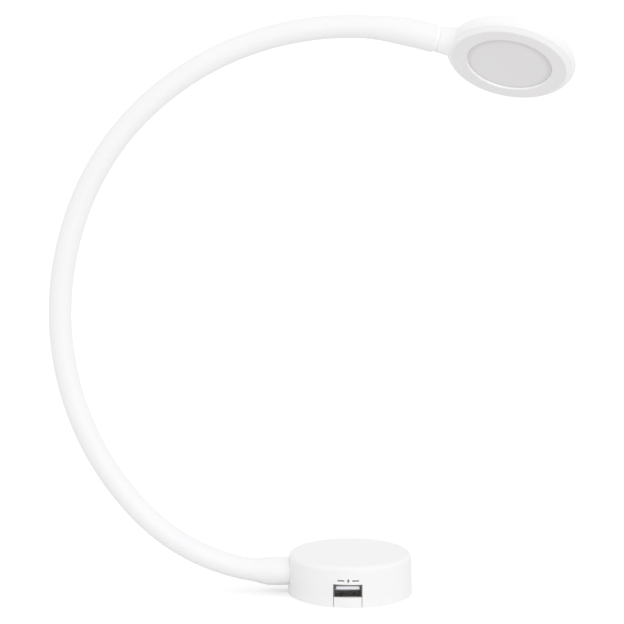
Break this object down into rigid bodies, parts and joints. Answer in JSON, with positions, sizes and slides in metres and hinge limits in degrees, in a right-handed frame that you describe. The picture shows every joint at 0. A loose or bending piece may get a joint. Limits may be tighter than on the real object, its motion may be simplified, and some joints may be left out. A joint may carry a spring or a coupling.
{
  "type": "gooseneck reading lamp",
  "caption": "Surface-mounted reading lamp: a round base with a USB charging socket, a flexible gooseneck in a white sleeve, and a slim round LED head.",
  "frame": {"origin": "centre of the round base's flat mounting face, at the mouth of the cable inlet", "axes": "+Z out of the mounting surface through the base; the gooseneck leaves the base towards -X; the USB socket faces -Y"},
  "size_m": [0.2497, 0.06, 0.279],
  "materials": {
    "housing_white": "fine satin moulded",
    "diffuser_white": "opal, matt",
    "reflector_white": "gloss",
    "sleeve_silicone": "smooth matt silicone",
    "gooseneck_steel": "zinc plated",
    "wire_insulation": "smooth",
    "port_metal": "nickel plated",
    "port_insulator": "matt",
    "contact_gold": "gold plated",
    "rubber_black": "matt",
    "board_green": "solder mask",
    "screw_steel": "zinc plated",
    "component_black": "matt",
    "capacitor_aluminium": "plain",
    "terminal_green": "matt",
    "spring_bronze": "bright",
    "fitting_brass": "nickel plated",
    "led_phosphor": "matt"
  },
  "bodies": {
    "base": {"base_ferrule": "fitting_brass", "base_housing": "housing_white", "base_plate": "housing_white", "board_screws": "screw_steel", "buck_inductor": "component_black", "cable_grommet": "rubber_black", "charger_board": "board_green", "feed_cable_base": "wire_insulation", "ferrule_nut": "fitting_brass", "gooseneck_tube_base": "gooseneck_steel", "lamp_leads": "wire_insulation", "output_capacitors": "capacitor_aluminium", "regulator_chips": "component_black", "sleeve_base": "sleeve_silicone", "supply_terminal": "terminal_green", "terminal_screws": "screw_steel", "touch_leaf": "spring_bronze", "usb_contacts": "contact_gold", "usb_insulator": "port_insulator", "usb_shell": "port_metal"},
    "link_1": {"feed_cable_1": "wire_insulation", "gooseneck_tube_1": "gooseneck_steel", "sleeve_1": "sleeve_silicone"},
    "link_2": {"feed_cable_2": "wire_insulation", "gooseneck_tube_2": "gooseneck_steel", "sleeve_2": "sleeve_silicone"},
    "link_3": {"feed_cable_3": "wire_insulation", "gooseneck_tube_3": "gooseneck_steel", "sleeve_3": "sleeve_silicone"},
    "link_4": {"feed_cable_4": "wire_insulation", "gooseneck_tube_4": "gooseneck_steel", "sleeve_4": "sleeve_silicone"},
    "link_5": {"feed_cable_5": "wire_insulation", "gooseneck_tube_5": "gooseneck_steel", "sleeve_5": "sleeve_silicone"},
    "link_6": {"feed_cable_6": "wire_insulation", "gooseneck_tube_6": "gooseneck_steel", "sleeve_6": "sleeve_silicone"},
    "link_7": {"feed_cable_7": "wire_insulation", "gooseneck_tube_7": "gooseneck_steel", "sleeve_7": "sleeve_silicone"},
    "head": {"diffuser": "diffuser_white", "feed_cable_head": "wire_insulation", "gooseneck_tube_head": "gooseneck_steel", "head_bezel": "housing_white", "head_ferrule": "fitting_brass", "head_housing": "housing_white", "heat_spreader": "capacitor_aluminium", "led_board": "capacitor_aluminium", "led_leads": "wire_insulation", "leds": "led_phosphor", "neck_screw": "screw_steel", "reflector_ring": "reflector_white", "sleeve_head": "sleeve_silicone"}
  },
  "joints": [
    {"name": "base_swing", "type": "hinge", "parent": "base", "child": "link_1", "pos_m": [-0.05379, 0, 0.01201], "axis": [0.2317, 0, 0.9728], "range_deg": [-30, 30]},
    {"name": "neck_bend_1", "type": "hinge", "parent": "link_1", "child": "link_2", "pos_m": [-0.10044, 0, 0.03873], "axis": [0, 1, 0], "range_deg": [-35, 15]},
    {"name": "neck_swing_2", "type": "hinge", "parent": "link_2", "child": "link_3", "pos_m": [-0.12954, 0, 0.0844], "axis": [0.9323, 0, 0.3616], "range_deg": [-30, 30]},
    {"name": "neck_bend_3", "type": "hinge", "parent": "link_3", "child": "link_4", "pos_m": [-0.13899, 0, 0.13772], "axis": [0, 1, 0], "range_deg": [-35, 15]},
    {"name": "neck_swing_4", "type": "hinge", "parent": "link_4", "child": "link_5", "pos_m": [-0.12791, 0, 0.19076], "axis": [0.9239, 0, -0.3827], "range_deg": [-30, 30]},
    {"name": "neck_bend_5", "type": "hinge", "parent": "link_5", "child": "link_6", "pos_m": [-0.09719, 0, 0.23529], "axis": [0, 1, 0], "range_deg": [-35, 15]},
    {"name": "neck_swing_6", "type": "hinge", "parent": "link_6", "child": "link_7", "pos_m": [-0.05127, 0, 0.26398], "axis": [0.3535, 0, -0.9354], "range_deg": [-30, 30]},
    {"name": "head_tilt", "type": "hinge", "parent": "link_7", "child": "head", "pos_m": [0.00211, 0, 0.27325], "axis": [0, 1, 0], "range_deg": [-35, 15]}
  ]
}
